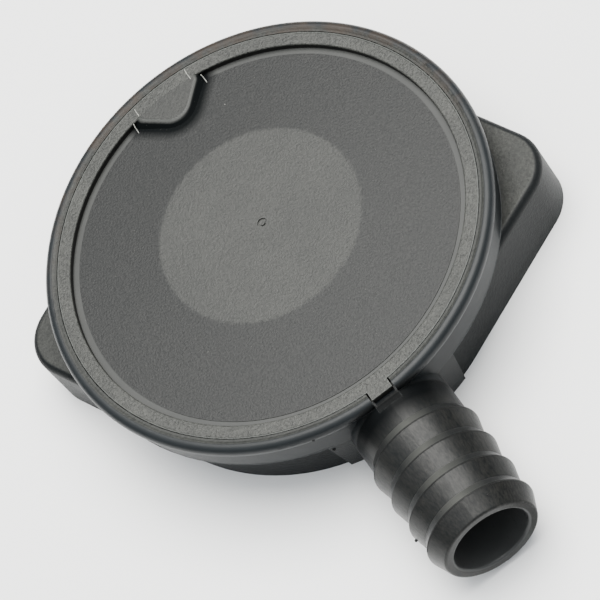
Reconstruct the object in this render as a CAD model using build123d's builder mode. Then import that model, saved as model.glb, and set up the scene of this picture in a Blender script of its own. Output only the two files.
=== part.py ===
from build123d import *
import math
import os

os.makedirs("parts", exist_ok=True)

# A crankcase vent valve, in millimetres. The valve stands on its base face at Z = 0.
# The disc's axis is Z, the two ears lie along X, and the hose nipple points to nipple_angle.

# Directions, in degrees from +X
nipple_angle = -69.7
vent_angle = nipple_angle + 180

# Cover disc. The ring's radius sets the valve's size, and most radii below follow from it.
ring_outer_radius = 42.2
ring_width = 2.7
ring_inner_radius = ring_outer_radius - ring_width
ring_edge_radius = 0.35
cover_level = 22.5
cover_thickness = 1.6
cover_fit = 0.15
border_depth = 1.4
border_width = 1.3
recess_depth = 1.25
recess_level = cover_level - recess_depth
recess_radius = ring_inner_radius - border_width
middle_radius = 20.3
middle_offset = 2
middle_depth = 0.5
middle_level = cover_level - middle_depth
gate_radius = 1
gate_depth = 0.3
gate_shift = 0.6
stop_radius = 12
stop_width = 1.6
stop_fit = 0.1
cover_rib_count = 8
cover_rib_width = 1
cover_rib_gap = 0.6

# Drum, with its rim bead round the cover and the ledge for the diaphragm inside
rim_wall = 2
drum_top_radius = ring_outer_radius + rim_wall
drum_taper = 0.4
drum_foot_radius = drum_top_radius - drum_taper
drum_foot_rise = 1.8
bead_radius = 1.45
bead_inset = 0.65
bead_circle_radius = drum_top_radius - bead_inset
bead_drop = 1.25
bead_level = cover_level - bead_drop
ledge_width = 5.2
chamber_radius = ring_outer_radius - ledge_width
ledge_drop = 4.5
ledge_level = cover_level - ledge_drop

# Base with its two ears
base_recess = 3.8
base_radius = drum_foot_radius - base_recess
base_height = 14.2
ear_reach = 3.4
ear_spread = base_radius + ear_reach
ear_radius = 9
ear_edge_radius = 1.5
left_ear_inset = 0.3
left_ear_shift = 0.9
floor_thickness = 3
apron_angle = 38
apron_flare = 0.7
apron_foot_radius = base_radius + apron_flare

# Vent pad and key tab on the cover
pad_reach = 7.4
pad_half_width = 6.3
pad_tip_radius = 3.4
pad_corner_radius = 0.8
pad_draft = 48
pad_bevel_height = 0.35
pad_bevel_draft = 66
pad_root = 0.3
vent_bore_radius = 0.5
vent_bore_depth = 0.9
vent_bore_level = cover_level - vent_bore_depth
vent_shaft_offset = 1.9
filter_radius = 2.6
filter_thickness = 0.9
filter_reach = 8.6
filter_offset = ring_outer_radius - filter_reach
filter_inset = 0.3
key_width = 4.4
key_length = 1.9
key_reach = ring_outer_radius + key_length
key_thickness = 1.2
key_fit = 0.35

# Hose nipple
nipple_level = 11.25
nipple_bore_radius = 7.65
nipple_wall = 2.55
nipple_neck_radius = nipple_bore_radius + nipple_wall
nipple_neck_length = 7
nipple_sink = 1.8
nipple_root = drum_foot_radius - nipple_sink
rib_count = 4
rib_start = drum_foot_radius + nipple_neck_length
rib_pitch = 6.25
rib_rise = 1.9
rib_height = 0.95
rib_crest_radius = nipple_neck_radius + rib_height
rib_crest_rounding = 0.6
nipple_tip_length = 4.05
nipple_tip_taper = 1.6
nipple_reach = rib_start + (rib_count - 1) * rib_pitch + rib_rise + nipple_tip_length
nipple_end_rounding = 0.6
nipple_mouth_rounding = 0.65

# Valve seat, with the spring cup, pedestal and plenum round it
seat_bore_radius = 7
seat_tube_wall = 2
seat_tube_radius = seat_bore_radius + seat_tube_wall
seat_tube_height = 1.4
seat_ring_wall = 0.9
seat_ring_radius = seat_tube_radius + seat_ring_wall
seat_ring_thickness = 1.1
seat_ring_skirt = 1
seat_fit = 0.05
pad_overlap = 0.5
pad_ring_radius = seat_ring_radius + pad_overlap
pad_ring_thickness = 1.3
spring_wire_radius = 0.45
spring_gap = 1.6
spring_spread = 2.4
spring_top_radius = pad_ring_radius + spring_gap
spring_foot_radius = spring_top_radius + spring_spread
spring_turns = 3.25
spring_wire_sides = 8
cup_thickness = 0.5
cup_gap = 0.5
cup_inner_radius = seat_ring_radius + cup_gap
cup_rim_height = 1.5
cup_margin = 1.8
pedestal_radius = spring_foot_radius + cup_margin
pedestal_wall = 4.2
plenum_radius = pedestal_radius - pedestal_wall

# Outlet duct under the chamber, and its closing plate
wall = 1.2
duct_half_width = 8
duct_floor_level = 1.8
duct_roof_level = 7.8
bay_length = 7.5
bay_start = chamber_radius - bay_length
bay_overrun = 1.5
bay_wall = chamber_radius + bay_overrun
bay_roof_level = 10.2
duct_overlap = 1.5
duct_end = bay_start + duct_overlap
throat_relief = 0.3
throat_radius = nipple_bore_radius + throat_relief
throat_roof_level = 15.2
plate_shoulder = 1.5
plate_thickness = 1.5
plate_fit = 0.1

# Inlet port and the seal round the base
seal_inset = 4
seal_circle_radius = base_radius - seal_inset
seal_width = 2
seal_height = 1.9
seal_section = 1.85
seal_fit = 0.1
seal_rounding = 0.6
port_radius = 7.5
port_inset = 10.5
port_offset = seal_circle_radius - port_inset
port_wall = 1.4
port_height = 5.5

# Threaded inserts
insert_radius = 4
insert_length = 10
insert_bore_radius = 2.5
insert_fit = 0.02
insert_groove_depth = 0.4
insert_groove_width = 1.2
insert_relief = 1.8

# Diaphragm
membrane_thickness = 0.7
membrane_inner_radius = 3.45
loop_margin = 0.8
loop_width = 7.8
loop_outer_radius = chamber_radius - loop_margin
loop_inner_radius = loop_outer_radius - loop_width
loop_slope = 2
loop_depth = 2.9
loop_bend_radius = 1.2
lip_inset = 2.6
lip_circle_radius = ring_outer_radius - lip_inset
lip_width = 2.2
lip_height = 1.9
lip_fit = 0.08
lip_rounding = 0.4

# Moving plate group
plate_drop = 2.1
plate_rest_level = ledge_level - plate_drop
plate_margin = 1.4
plate_radius = loop_inner_radius - plate_margin
support_thickness = 1.5
support_rib_count = 12
support_rib_height = 1
support_rib_width = 1.2
support_rib_margin = 1.5
support_rib_gap = 0.8
support_rib_inner_radius = pedestal_radius + support_rib_gap
support_rib_outer_radius = plate_radius - support_rib_margin
clamp_inset = 1
clamp_radius = plate_radius - clamp_inset
clamp_thickness = 1
clamp_edge_radius = 0.4
hub_radius = 3.4
hub_drop = 5.9
hub_rise = 4.1
hub_fit = 0.05
nut_radius = 7
nut_thickness = 0.8
nut_tooth_count = 6
nut_slot_length = 2.2
nut_slot_width = 0.9

# Guide pin and bush
pin_radius = 1.5
pin_foot_level = 0.8
pin_drop = 1.1
pin_top_level = plate_rest_level - pin_drop
pin_boss_radius = 3.2
pin_boss_level = 5
bush_wall = 0.65
bush_length = 5.2
bush_fit = 0.02
running_fit = 0.05
blind_depth = 3

# Sizes and levels that follow from those above
duct_top_level = duct_roof_level + wall
seat_tube_level = duct_top_level + seat_tube_height
seat_level = seat_tube_level + seat_ring_thickness
throat_end = ring_outer_radius + cover_fit + wall
membrane_foot_level = plate_rest_level + support_thickness
membrane_top_level = membrane_foot_level + membrane_thickness
clamp_top_level = membrane_top_level + clamp_thickness
land_level = ledge_level + membrane_thickness
lip_foot_level = land_level - membrane_thickness / 2 - lip_height / 2 - lip_fit
lip_top_level = land_level - membrane_thickness / 2 + lip_height / 2 + lip_fit
hub_foot_level = plate_rest_level - hub_drop
hub_top_level = plate_rest_level + hub_rise
bush_outer_radius = pin_radius + running_fit + bush_wall
spring_foot_level = duct_top_level + cup_thickness
key_foot_level = cover_level - key_thickness
filter_foot_level = recess_level - cover_thickness + filter_inset
cover_rib_outer_radius = chamber_radius - cover_rib_gap
pad_height = recess_depth + pad_root
pad_bevel_spread = pad_bevel_height * math.tan(math.radians(pad_bevel_draft))
pad_spread = (pad_height - pad_bevel_height) * math.tan(math.radians(pad_draft)) + pad_bevel_spread


def radial_plane(angle, level=0.0):
    """A standing plane through the disc's axis: x runs outwards at the angle, y runs up."""
    turn = math.radians(angle)
    outwards = (math.cos(turn), math.sin(turn), 0)
    across = (math.sin(turn), -math.cos(turn), 0)
    return Plane(origin=(0, 0, level), x_dir=outwards, z_dir=across)


def section_plane(angle, distance, level):
    """A standing plane square to a radius, at a distance from the axis: x runs across, y runs up."""
    turn = math.radians(angle)
    outwards = (math.cos(turn), math.sin(turn), 0)
    across = (-math.sin(turn), math.cos(turn), 0)
    start = (distance * math.cos(turn), distance * math.sin(turn), level)
    return Plane(origin=start, x_dir=across, z_dir=outwards)


def turned_plane(angle, level):
    """A level plane whose x axis runs outwards at the angle."""
    turn = math.radians(angle)
    return Plane(origin=(0, 0, level), x_dir=(math.cos(turn), math.sin(turn), 0), z_dir=(0, 0, 1))


nipple_plane = radial_plane(nipple_angle)
nipple_axis = Axis((0, 0, nipple_level), tuple(nipple_plane.x_dir))


def keyhole(radius, half_width, length):
    """The outline of the plenum with its duct, drawn with the duct along x."""
    Circle(radius)
    with Locations((length / 2, 0)):
        Rectangle(length, 2 * half_width)


# Housing: base with ears, drum with rim bead, hose nipple, duct and seat tube in one moulding

with BuildPart() as housing:
    # Base
    with BuildSketch():
        Circle(base_radius)
        with Locations((left_ear_inset - ear_spread, -left_ear_shift), (ear_spread, 0)):
            Circle(ear_radius)
        make_hull()
    extrude(amount=base_height)
    fillet(housing.faces().sort_by(Axis.Z)[-1].edges(), ear_edge_radius)

    # Drum
    with BuildSketch(Plane.XZ):
        with BuildLine():
            Polyline(
                (0, base_height - drum_foot_rise),
                (base_radius, base_height - drum_foot_rise),
                (drum_foot_radius, base_height),
                (drum_top_radius, bead_level),
                (drum_top_radius - bead_radius, cover_level),
                (0, cover_level),
                close=True,
            )
        make_face()
    revolve(axis=Axis.Z)
    with BuildSketch(Plane.XZ):
        with Locations((bead_circle_radius, bead_level)):
            Circle(bead_radius)
    revolve(axis=Axis.Z)

    # Apron from the drum's foot down to the base face, at the nipple
    with BuildSketch(radial_plane(nipple_angle - apron_angle / 2)):
        with BuildLine():
            Polyline(
                (base_radius - wall, 0),
                (apron_foot_radius, 0),
                (drum_foot_radius, base_height),
                (base_radius - wall, base_height),
                close=True,
            )
        make_face()
    revolve(axis=Axis.Z, revolution_arc=apron_angle)

    # Hose nipple with sawtooth ribs, steep on the side of the drum
    with BuildSketch(nipple_plane) as nipple_outline:
        with BuildLine():
            outline = [(nipple_root, nipple_level), (nipple_root, nipple_level + nipple_neck_radius)]
            for rib in range(rib_count):
                foot = rib_start + rib * rib_pitch
                outline.append((foot, nipple_level + nipple_neck_radius))
                outline.append((foot + rib_rise, nipple_level + rib_crest_radius))
            outline.append((nipple_reach, nipple_level + rib_crest_radius - nipple_tip_taper))
            outline.append((nipple_reach, nipple_level))
            Polyline(*outline, close=True)
        ribbed = make_face()
        crests = ribbed.vertices().filter_by(
            lambda v: v.Y > nipple_level + rib_crest_radius - rib_height / 9
        )
        fillet(crests, rib_crest_rounding)
        fillet(nipple_outline.vertices().sort_by(Axis.X)[-2:].sort_by(Axis.Y)[-1], nipple_end_rounding)
    revolve(axis=nipple_axis)

    # Chamber with the ledge for the diaphragm's lip, and the counterbore for the cover
    with BuildSketch(Plane.XZ):
        with BuildLine():
            Polyline(
                (0, floor_thickness),
                (chamber_radius, floor_thickness),
                (chamber_radius, ledge_level),
                (ring_outer_radius + cover_fit, ledge_level),
                (ring_outer_radius + cover_fit, bead_level + bead_radius),
                (0, bead_level + bead_radius),
                close=True,
            )
        make_face()
    revolve(axis=Axis.Z, mode=Mode.SUBTRACT)
    with BuildSketch(Plane.XY.offset(lip_foot_level)):
        Circle(lip_circle_radius + lip_width / 2 + lip_fit)
        Circle(lip_circle_radius - lip_width / 2 - lip_fit, mode=Mode.SUBTRACT)
    extrude(amount=ledge_level - lip_foot_level, mode=Mode.SUBTRACT)

    # Duct roof, pedestal and raised bay inside the chamber
    with BuildSketch(turned_plane(nipple_angle, floor_thickness)):
        keyhole(pedestal_radius, duct_half_width + wall, chamber_radius + wall)
    extrude(amount=duct_top_level - floor_thickness)
    with BuildSketch(turned_plane(nipple_angle, floor_thickness)):
        with Locations(((bay_start - wall + chamber_radius + wall) / 2, 0)):
            Rectangle(chamber_radius - bay_start + 2 * wall, 2 * (throat_radius + wall))
    extrude(amount=bay_roof_level + wall - floor_thickness)

    # Seat tube
    with BuildSketch(Plane.XY.offset(duct_top_level)):
        Circle(seat_tube_radius)
    extrude(amount=seat_tube_height)

    # Outlet: seat bore, plenum and duct open from below, and the nipple's bore
    with BuildSketch(turned_plane(nipple_angle, 0)):
        keyhole(plenum_radius, duct_half_width, duct_end)
    extrude(amount=duct_roof_level, mode=Mode.SUBTRACT)
    with BuildSketch(turned_plane(nipple_angle, 0)):
        keyhole(
            plenum_radius + plate_shoulder,
            duct_half_width + plate_shoulder,
            duct_end + plate_shoulder,
        )
    extrude(amount=duct_floor_level, mode=Mode.SUBTRACT)
    with BuildSketch(Plane.XY.offset(duct_floor_level)):
        Circle(seat_bore_radius)
    extrude(amount=seat_tube_level - duct_floor_level, mode=Mode.SUBTRACT)
    for start, end, roof in (
        (bay_start, bay_wall, bay_roof_level),
        (bay_wall, throat_end, throat_roof_level),
    ):
        with BuildSketch(section_plane(nipple_angle, start, nipple_level)):
            Circle(throat_radius)
            with Locations((0, roof - nipple_level - throat_radius)):
                Rectangle(2 * throat_radius, 2 * throat_radius, mode=Mode.INTERSECT)
        extrude(amount=end - start, mode=Mode.SUBTRACT)
    with BuildSketch(section_plane(nipple_angle, throat_end, nipple_level)):
        Circle(nipple_bore_radius)
    extrude(amount=nipple_reach - throat_end, mode=Mode.SUBTRACT)
    mouth_edges = housing.faces().sort_by(nipple_axis)[-1].edges()
    fillet(mouth_edges.sort_by(SortBy.RADIUS)[0], nipple_mouth_rounding)

    # Inlet port with its collar
    with BuildSketch(turned_plane(vent_angle, 0)):
        with Locations((port_offset, 0)):
            Circle(port_radius + port_wall)
    extrude(amount=port_height)
    with BuildSketch(turned_plane(vent_angle, 0)):
        with Locations((port_offset, 0)):
            Circle(port_radius)
    extrude(amount=port_height, mode=Mode.SUBTRACT)

    # Seal groove in the base face
    with BuildSketch():
        Circle(seal_circle_radius + seal_width / 2 + seal_fit)
        Circle(seal_circle_radius - seal_width / 2 - seal_fit, mode=Mode.SUBTRACT)
    extrude(amount=seal_height, mode=Mode.SUBTRACT)

    # Holes for the threaded inserts
    with BuildSketch():
        with Locations((-ear_spread, 0), (ear_spread, 0)):
            Circle(insert_radius + insert_fit)
    extrude(amount=insert_length, mode=Mode.SUBTRACT)
    with BuildSketch():
        with Locations((-ear_spread, 0), (ear_spread, 0)):
            Circle(insert_bore_radius)
    extrude(amount=insert_length + insert_relief, mode=Mode.SUBTRACT)

    # Notch in the rim for the cover's key tab
    with BuildSketch(turned_plane(nipple_angle, key_foot_level - key_fit)):
        with Locations((bead_circle_radius, 0)):
            Rectangle(2 * (bead_circle_radius - ring_outer_radius + bead_radius), key_width + 2 * key_fit)
    extrude(amount=bead_level + 2 * bead_radius - key_foot_level, mode=Mode.SUBTRACT)

housing.part.label = "housing"
export_step(housing.part, "parts/housing.step")

# Duct plate: closes the plenum and duct from below, and holds the guide pin in its boss

with BuildPart() as duct_plate:
    with BuildSketch(turned_plane(nipple_angle, duct_floor_level - plate_thickness)):
        keyhole(
            plenum_radius + plate_shoulder - plate_fit,
            duct_half_width + plate_shoulder - plate_fit,
            duct_end + plate_shoulder - plate_fit,
        )
    extrude(amount=plate_thickness)
    with BuildSketch(Plane.XY.offset(duct_floor_level)):
        Circle(pin_boss_radius)
    extrude(amount=pin_boss_level - duct_floor_level)
    with BuildSketch(Plane.XY.offset(pin_foot_level)):
        Circle(pin_radius + bush_fit)
    extrude(amount=pin_boss_level - pin_foot_level, mode=Mode.SUBTRACT)

duct_plate.part.label = "duct_plate"
export_step(duct_plate.part, "parts/duct_plate.step")

# Guide pin, with a rounded top that leads the hub on

with BuildPart() as guide_pin:
    with BuildSketch(Plane.XY.offset(pin_foot_level)):
        Circle(pin_radius)
    extrude(amount=pin_top_level - pin_foot_level)
    chamfer(guide_pin.edges().sort_by(Axis.Z)[-1], pin_radius / 4)

guide_pin.part.label = "guide_pin"
export_step(guide_pin.part, "parts/guide_pin.step")

# Seat ring: capped over the seat tube, with a rounded sealing land

with BuildPart() as seat_ring:
    with BuildSketch(Plane.XZ):
        with BuildLine():
            Polyline(
                (seat_bore_radius, seat_tube_level),
                (seat_tube_radius + seat_fit, seat_tube_level),
                (seat_tube_radius + seat_fit, seat_tube_level - seat_ring_skirt),
                (seat_ring_radius, seat_tube_level - seat_ring_skirt),
                (seat_ring_radius, seat_level),
                (seat_bore_radius, seat_level),
                close=True,
            )
        ring_face = make_face()
        fillet(ring_face.vertices().group_by(Axis.Y)[-1], seat_ring_thickness / 2)
    revolve(axis=Axis.Z)

seat_ring.part.label = "seat_ring"
export_step(seat_ring.part, "parts/seat_ring.step")

# Spring cup on the pedestal, with an upturned rim round the spring's foot

with BuildPart() as spring_cup:
    cup_outer_radius = pedestal_radius - cup_thickness / 2
    with BuildSketch(Plane.XZ):
        with BuildLine():
            Polyline(
                (cup_inner_radius, duct_top_level),
                (cup_outer_radius, duct_top_level),
                (cup_outer_radius, duct_top_level + cup_rim_height),
                (cup_outer_radius - cup_thickness, duct_top_level + cup_rim_height),
                (cup_outer_radius - cup_thickness, spring_foot_level),
                (cup_inner_radius, spring_foot_level),
                close=True,
            )
        make_face()
    revolve(axis=Axis.Z)

spring_cup.part.label = "spring_cup"
export_step(spring_cup.part, "parts/spring_cup.step")

# Conical pressure spring, ground flat at both ends

with BuildPart() as pressure_spring:
    spring_height = plate_rest_level - spring_foot_level
    coil_height = spring_height - spring_wire_radius
    coil_foot_level = spring_foot_level + spring_wire_radius / 2
    coil_cone_angle = math.degrees(math.atan((spring_top_radius - spring_foot_radius) / coil_height))
    with BuildLine(Plane.XY.offset(coil_foot_level)) as coil:
        Helix(
            pitch=coil_height / spring_turns,
            height=coil_height,
            radius=spring_foot_radius,
            cone_angle=coil_cone_angle,
        )
    with BuildSketch(Plane(origin=coil.line @ 0, z_dir=coil.line % 0)):
        RegularPolygon(spring_wire_radius, spring_wire_sides)
    sweep(is_frenet=True)
    split(bisect_by=Plane.XY.offset(spring_foot_level), keep=Keep.TOP)
    split(bisect_by=Plane.XY.offset(plate_rest_level), keep=Keep.BOTTOM)

pressure_spring.part.label = "pressure_spring"
export_step(pressure_spring.part, "parts/pressure_spring.step")

# Support plate under the membrane, ribbed below, with the hub that runs on the guide pin

with BuildPart() as support_plate:
    with BuildSketch(Plane.XY.offset(plate_rest_level)):
        Circle(plate_radius)
    extrude(amount=support_thickness)
    fillet(support_plate.edges().filter_by(GeomType.CIRCLE), support_thickness / 3)
    with BuildSketch(Plane.XY.offset(plate_rest_level - support_rib_height)):
        with PolarLocations((support_rib_inner_radius + support_rib_outer_radius) / 2, support_rib_count):
            Rectangle(support_rib_outer_radius - support_rib_inner_radius, support_rib_width)
    extrude(amount=support_rib_height)
    with BuildSketch(Plane.XY.offset(hub_foot_level)):
        Circle(hub_radius)
    extrude(amount=hub_top_level - hub_foot_level)
    with BuildSketch(Plane.XY.offset(hub_foot_level)):
        Circle(bush_outer_radius + bush_fit)
    extrude(amount=bush_length, mode=Mode.SUBTRACT)
    with BuildSketch(Plane.XY.offset(hub_foot_level + bush_length)):
        Circle(bush_outer_radius - bush_wall / 2)
    extrude(amount=blind_depth, mode=Mode.SUBTRACT)
    chamfer(support_plate.edges().sort_by(Axis.Z)[-1], hub_radius / 8)

support_plate.part.label = "support_plate"
export_step(support_plate.part, "parts/support_plate.step")

# Guide bush in the hub

with BuildPart() as guide_bush:
    with BuildSketch(Plane.XY.offset(hub_foot_level)):
        Circle(bush_outer_radius)
        Circle(bush_outer_radius - bush_wall, mode=Mode.SUBTRACT)
    extrude(amount=bush_length)

guide_bush.part.label = "guide_bush"
export_step(guide_bush.part, "parts/guide_bush.step")

# Valve pad: the rubber ring that closes the seat

with BuildPart() as valve_pad:
    with BuildSketch(Plane.XY.offset(plate_rest_level - pad_ring_thickness)):
        Circle(pad_ring_radius)
        Circle(hub_radius + hub_fit, mode=Mode.SUBTRACT)
    extrude(amount=pad_ring_thickness)
    fillet(valve_pad.edges().group_by(Axis.Z)[0].sort_by(SortBy.RADIUS)[-1], pad_ring_thickness / 4)

valve_pad.part.label = "valve_pad"
export_step(valve_pad.part, "parts/valve_pad.step")

# Clamp plate on top of the membrane

with BuildPart() as clamp_plate:
    with BuildSketch(Plane.XY.offset(membrane_top_level)):
        Circle(clamp_radius)
        Circle(hub_radius + hub_fit, mode=Mode.SUBTRACT)
    extrude(amount=clamp_thickness)
    fillet(clamp_plate.edges().filter_by(GeomType.CIRCLE).sort_by(SortBy.RADIUS)[-2:], clamp_edge_radius)

clamp_plate.part.label = "clamp_plate"
export_step(clamp_plate.part, "parts/clamp_plate.step")

# Push nut, with slots that part its teeth

with BuildPart() as push_nut:
    with BuildSketch(Plane.XY.offset(clamp_top_level)):
        Circle(nut_radius)
        Circle(hub_radius + hub_fit, mode=Mode.SUBTRACT)
        with PolarLocations(hub_radius + nut_slot_length / 2, nut_tooth_count):
            SlotOverall(nut_slot_length, nut_slot_width, mode=Mode.SUBTRACT)
    extrude(amount=nut_thickness)

push_nut.part.label = "push_nut"
export_step(push_nut.part, "parts/push_nut.step")

# Rolling diaphragm: a flat membrane, a rolling loop, and a thick lip clamped by the cover

with BuildPart() as rolling_diaphragm:
    with BuildSketch(Plane.XZ):
        with BuildLine() as centre_line:
            inner_level = membrane_foot_level + membrane_thickness / 2
            outer_level = ledge_level + membrane_thickness / 2
            FilletPolyline(
                (membrane_inner_radius, inner_level),
                (loop_inner_radius, inner_level),
                (loop_inner_radius + loop_slope, outer_level - loop_depth),
                (loop_outer_radius - loop_slope, outer_level - loop_depth),
                (loop_outer_radius, outer_level),
                (lip_circle_radius, outer_level),
                radius=loop_bend_radius,
            )
        trace(line_width=membrane_thickness)
    revolve(axis=Axis.Z)
    with BuildSketch(Plane.XZ):
        with Locations((lip_circle_radius, outer_level)):
            RectangleRounded(lip_width, lip_height, lip_rounding)
    revolve(axis=Axis.Z)

rolling_diaphragm.part.label = "rolling_diaphragm"
export_step(rolling_diaphragm.part, "parts/rolling_diaphragm.step")

# The vent pad's form: a rounded wedge with sloping sides that narrows towards the middle

with BuildPart() as pad_form:
    for level, spread in (
        (recess_level - pad_root, pad_spread),
        (cover_level - pad_bevel_height, pad_bevel_spread),
        (cover_level, 0),
    ):
        with BuildSketch(turned_plane(vent_angle, level)) as pad_outline:
            half_width = pad_half_width + spread
            tip = ring_inner_radius - pad_reach - spread * math.sqrt(2)
            with BuildLine():
                Polyline(
                    (tip, 0),
                    (tip + half_width, -half_width),
                    (ring_outer_radius + spread, -half_width),
                    (ring_outer_radius + spread, half_width),
                    (tip + half_width, half_width),
                    close=True,
                )
            wedge = make_face()
            fillet(wedge.vertices().sort_by(Axis.X)[1:3], pad_corner_radius + spread)
            fillet(pad_outline.vertices().sort_by(Axis.X)[0], pad_tip_radius + spread)
    loft(ruled=True)
    with BuildSketch(Plane.XY.offset(recess_level - pad_root)):
        Circle(ring_inner_radius + ring_width / 2)
    extrude(amount=pad_height, mode=Mode.INTERSECT)

# Cover disc: flat ring, recess, raised middle, vent pad and key tab in one moulding

with BuildPart() as cover:
    # Ring and plate
    with BuildSketch(Plane.XZ):
        with BuildLine():
            Polyline(
                (0, recess_level - cover_thickness),
                (chamber_radius, recess_level - cover_thickness),
                (chamber_radius, land_level),
                (lip_circle_radius + lip_width / 2 + lip_fit, land_level),
                (lip_circle_radius + lip_width / 2 + lip_fit, ledge_level),
                (ring_outer_radius, ledge_level),
                (ring_outer_radius, cover_level),
                (ring_inner_radius, cover_level),
                (ring_inner_radius, cover_level - border_depth),
                (recess_radius, cover_level - border_depth),
                (recess_radius, recess_level),
                (0, recess_level),
                close=True,
            )
        make_face()
    revolve(axis=Axis.Z)
    fillet(cover.edges().group_by(Axis.Z)[-1], ring_edge_radius)

    # Raised middle, a flat cone that stands off centre towards the vent pad
    with BuildSketch(Plane.XY.offset(recess_level)):
        Circle(recess_radius)
    with BuildSketch(turned_plane(vent_angle, middle_level)):
        with Locations((middle_offset, 0)):
            Circle(middle_radius)
    loft()

    # Hollow under the middle, with ribs and the ring that stops the moving plate
    with BuildSketch(Plane.XY.offset(recess_level - cover_thickness)):
        Circle(recess_radius - cover_thickness)
    with BuildSketch(turned_plane(vent_angle, middle_level - cover_thickness)):
        with Locations((middle_offset, 0)):
            Circle(middle_radius - cover_thickness / 2)
    loft(mode=Mode.SUBTRACT)
    with BuildSketch(Plane.XY.offset(recess_level - cover_thickness)):
        with PolarLocations(
            (stop_radius + cover_rib_outer_radius) / 2,
            cover_rib_count,
            start_angle=vent_angle + 180 / cover_rib_count,
        ):
            Rectangle(cover_rib_outer_radius - stop_radius, cover_rib_width)
    extrude(amount=cover_thickness)
    with BuildSketch(Plane.XY.offset(clamp_top_level + stop_fit)):
        Circle(stop_radius + stop_width)
        Circle(stop_radius, mode=Mode.SUBTRACT)
    extrude(amount=middle_level - cover_thickness / 2 - clamp_top_level - stop_fit)

    # Groove for the diaphragm's lip
    with BuildSketch(Plane.XY.offset(ledge_level)):
        Circle(lip_circle_radius + lip_width / 2 + lip_fit)
        Circle(lip_circle_radius - lip_width / 2 - lip_fit, mode=Mode.SUBTRACT)
    extrude(amount=lip_top_level - ledge_level, mode=Mode.SUBTRACT)

    # Vent pad, flush with the ring
    add(pad_form.part)

    # Filter pocket under the pad, with the shaft and bore that lead to the edge of the ring
    with BuildSketch(turned_plane(vent_angle, ledge_level)):
        with Locations((filter_offset, 0)):
            Circle(filter_radius + bush_fit)
    extrude(amount=filter_foot_level + filter_thickness - ledge_level, mode=Mode.SUBTRACT)
    with BuildSketch(turned_plane(vent_angle, filter_foot_level)):
        with Locations((filter_offset + vent_shaft_offset, 0)):
            Circle(vent_bore_radius)
    extrude(amount=vent_bore_level - filter_foot_level, mode=Mode.SUBTRACT)
    with BuildSketch(section_plane(vent_angle, filter_offset + vent_shaft_offset, vent_bore_level)):
        Circle(vent_bore_radius)
    extrude(amount=ring_outer_radius - filter_offset, mode=Mode.SUBTRACT)

    # Key tab over the notch in the rim
    with BuildSketch(turned_plane(nipple_angle, key_foot_level)):
        with Locations(((ring_outer_radius - key_thickness + key_reach) / 2, 0)):
            Rectangle(key_reach - ring_outer_radius + key_thickness, key_width)
    extrude(amount=key_thickness)

    # Gate mark, a shallow dimple with a nub
    with BuildSketch(turned_plane(vent_angle, middle_level)):
        with Locations((middle_offset, -gate_shift)):
            Circle(gate_radius)
            Circle(gate_radius / 2, mode=Mode.SUBTRACT)
    extrude(amount=-gate_depth, mode=Mode.SUBTRACT)

cover.part.label = "cover"
export_step(cover.part, "parts/cover.step")

# Sintered vent filter, pressed into its pocket

with BuildPart() as vent_filter:
    with BuildSketch(turned_plane(vent_angle, filter_foot_level)):
        with Locations((filter_offset, 0)):
            Circle(filter_radius)
    extrude(amount=filter_thickness)

vent_filter.part.label = "vent_filter"
export_step(vent_filter.part, "parts/vent_filter.step")

# Base seal, a rounded ring in the groove of the base face

with BuildPart() as base_seal:
    with BuildSketch(Plane.XZ):
        with Locations((seal_circle_radius, seal_height - seal_section / 2)):
            RectangleRounded(seal_width, seal_section, seal_rounding)
    revolve(axis=Axis.Z)

base_seal.part.label = "base_seal"
export_step(base_seal.part, "parts/base_seal.step")

# Threaded inserts in the ears, open at the base face, with two grooves that lock them in

for side, place in (("left", -ear_spread), ("right", ear_spread)):
    with BuildPart() as threaded_insert:
        with BuildSketch():
            with Locations((place, 0)):
                Circle(insert_radius)
        extrude(amount=insert_length)
        for level in (insert_length / 3, 2 * insert_length / 3):
            with BuildSketch(Plane.XY.offset(level - insert_groove_width / 2)):
                with Locations((place, 0)):
                    Circle(insert_radius)
                    Circle(insert_radius - insert_groove_depth, mode=Mode.SUBTRACT)
            extrude(amount=insert_groove_width, mode=Mode.SUBTRACT)
        with BuildSketch():
            with Locations((place, 0)):
                Circle(insert_bore_radius)
        extrude(amount=insert_length, mode=Mode.SUBTRACT)

    threaded_insert.part.label = f"threaded_insert_{side}"
    export_step(threaded_insert.part, f"parts/threaded_insert_{side}.step")
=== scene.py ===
import math

import bmesh
import bpy
from mathutils import Matrix, Vector, noise


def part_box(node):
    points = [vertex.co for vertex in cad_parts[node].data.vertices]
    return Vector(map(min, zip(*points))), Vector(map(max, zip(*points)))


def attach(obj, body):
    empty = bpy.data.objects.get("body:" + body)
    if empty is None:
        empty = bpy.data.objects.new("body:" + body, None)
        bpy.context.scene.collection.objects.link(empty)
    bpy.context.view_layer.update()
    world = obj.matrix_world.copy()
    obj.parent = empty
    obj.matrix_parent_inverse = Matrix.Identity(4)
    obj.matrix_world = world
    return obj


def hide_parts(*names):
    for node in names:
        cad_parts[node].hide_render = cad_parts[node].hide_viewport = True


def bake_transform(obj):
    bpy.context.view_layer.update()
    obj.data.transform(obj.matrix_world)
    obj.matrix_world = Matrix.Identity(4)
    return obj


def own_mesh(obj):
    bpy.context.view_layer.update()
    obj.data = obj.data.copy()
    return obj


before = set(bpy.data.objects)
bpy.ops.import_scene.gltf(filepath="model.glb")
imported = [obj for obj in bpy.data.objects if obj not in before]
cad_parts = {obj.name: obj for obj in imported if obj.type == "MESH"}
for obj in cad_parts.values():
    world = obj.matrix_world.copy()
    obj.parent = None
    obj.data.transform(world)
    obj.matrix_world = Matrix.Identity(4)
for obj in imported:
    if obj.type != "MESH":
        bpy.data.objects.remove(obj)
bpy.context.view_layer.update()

MM = 0.001
TURN = 2 * math.pi

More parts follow.
